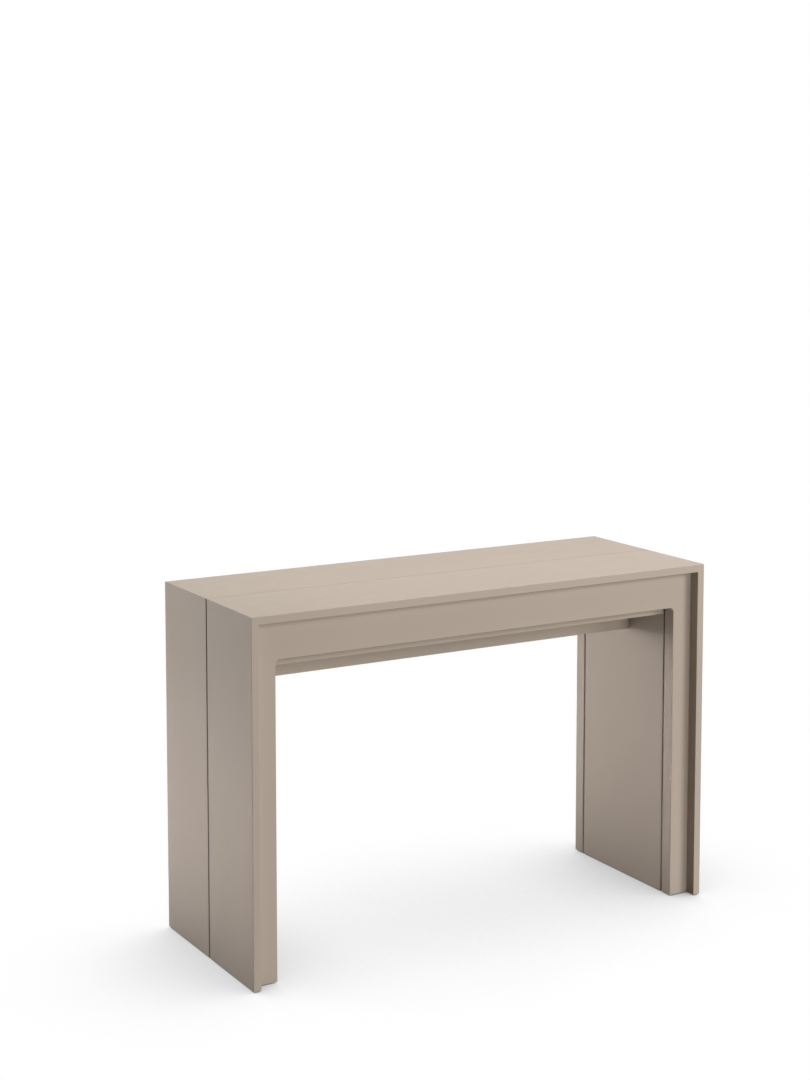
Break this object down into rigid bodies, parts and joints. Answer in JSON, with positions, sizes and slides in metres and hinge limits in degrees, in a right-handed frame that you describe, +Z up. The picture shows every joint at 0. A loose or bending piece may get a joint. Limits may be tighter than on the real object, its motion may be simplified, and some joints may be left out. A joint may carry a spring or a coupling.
{
  "type": "extending console table",
  "caption": "Console table split at mid-depth into two portal halves over a middle portal; telescopic slides draw the halves apart to make a long table.",
  "frame": {"origin": "centre of the closed table's footprint, on the floor", "axes": "+X along the width, to the right as seen from the front; -Y to the front; +Z up"},
  "size_m": [1.12, 0.42, 0.76],
  "materials": {
    "taupe_lacquer": "matt taupe lacquer",
    "beech": "bare beech",
    "aluminium": "mill extruded",
    "nylon": "black nylon",
    "zinc_steel": "zinc plated",
    "glide_plastic": "off-white polyethylene"
  },
  "bodies": {
    "middle_portal": {"centre_board": "taupe_lacquer", "centre_beam": "taupe_lacquer", "centre_left_leg": "taupe_lacquer", "centre_right_leg": "taupe_lacquer", "board_screws": "zinc_steel", "centre_glides": "glide_plastic", "slide_saddles": "aluminium", "saddle_bolts": "zinc_steel", "saddle_nuts": "zinc_steel", "core_slide_left": "aluminium", "core_slide_right": "aluminium", "core_runners": "nylon"},
    "front_slide_1": {"front_slide_1_left": "aluminium", "front_slide_1_right": "aluminium", "front_slide_1_runners": "nylon"},
    "front_slide_2": {"front_slide_2_left": "aluminium", "front_slide_2_right": "aluminium", "front_slide_2_runners": "nylon"},
    "front_slide_3": {"front_slide_3_left": "aluminium", "front_slide_3_right": "aluminium", "front_slide_3_runners": "nylon"},
    "front_half": {"front_top": "taupe_lacquer", "front_left_side": "taupe_lacquer", "front_right_side": "taupe_lacquer", "front_frame": "taupe_lacquer", "front_mitre_splines": "beech", "front_corner_blocks": "beech", "front_slide_brackets": "zinc_steel", "front_bracket_rivets": "aluminium", "front_wood_screws": "zinc_steel", "front_glides": "glide_plastic", "front_end_slide_left": "aluminium", "front_end_slide_right": "aluminium", "front_end_runners": "nylon", "seam_pins": "beech"},
    "rear_slide_1": {"rear_slide_1_left": "aluminium", "rear_slide_1_right": "aluminium", "rear_slide_1_runners": "nylon"},
    "rear_slide_2": {"rear_slide_2_left": "aluminium", "rear_slide_2_right": "aluminium", "rear_slide_2_runners": "nylon"},
    "rear_slide_3": {"rear_slide_3_left": "aluminium", "rear_slide_3_right": "aluminium", "rear_slide_3_runners": "nylon"},
    "rear_half": {"rear_top": "taupe_lacquer", "rear_left_side": "taupe_lacquer", "rear_right_side": "taupe_lacquer", "rear_frame": "taupe_lacquer", "rear_mitre_splines": "beech", "rear_corner_blocks": "beech", "rear_slide_brackets": "zinc_steel", "rear_bracket_rivets": "aluminium", "rear_wood_screws": "zinc_steel", "rear_glides": "glide_plastic", "rear_end_slide_left": "aluminium", "rear_end_slide_right": "aluminium", "rear_end_runners": "nylon"}
  },
  "joints": [
    {"name": "front_slide_1_draw", "type": "slide", "parent": "middle_portal", "child": "front_slide_1", "axis": [0, -1, 0], "range_m": [0, 0.22]},
    {"name": "front_slide_2_draw", "type": "slide", "parent": "front_slide_1", "child": "front_slide_2", "axis": [0, -1, 0], "range_m": [0, 0.22]},
    {"name": "front_slide_3_draw", "type": "slide", "parent": "front_slide_2", "child": "front_slide_3", "axis": [0, -1, 0], "range_m": [0, 0.22]},
    {"name": "front_half_draw", "type": "slide", "parent": "front_slide_3", "child": "front_half", "axis": [0, -1, 0], "range_m": [0, 0.22]},
    {"name": "rear_slide_1_draw", "type": "slide", "parent": "middle_portal", "child": "rear_slide_1", "axis": [0, 1, 0], "range_m": [0, 0.22]},
    {"name": "rear_slide_2_draw", "type": "slide", "parent": "rear_slide_1", "child": "rear_slide_2", "axis": [0, 1, 0], "range_m": [0, 0.22]},
    {"name": "rear_slide_3_draw", "type": "slide", "parent": "rear_slide_2", "child": "rear_slide_3", "axis": [0, 1, 0], "range_m": [0, 0.22]},
    {"name": "rear_half_draw", "type": "slide", "parent": "rear_slide_3", "child": "rear_half", "axis": [0, 1, 0], "range_m": [0, 0.22]}
  ],
  "couplings": [
    {"joint": "front_slide_1_draw", "follows": "front_half_draw", "ratio": 1},
    {"joint": "front_slide_2_draw", "follows": "front_half_draw", "ratio": 1},
    {"joint": "front_slide_3_draw", "follows": "front_half_draw", "ratio": 1},
    {"joint": "rear_slide_1_draw", "follows": "rear_half_draw", "ratio": 1},
    {"joint": "rear_slide_2_draw", "follows": "rear_half_draw", "ratio": 1},
    {"joint": "rear_slide_3_draw", "follows": "rear_half_draw", "ratio": 1}
  ]
}
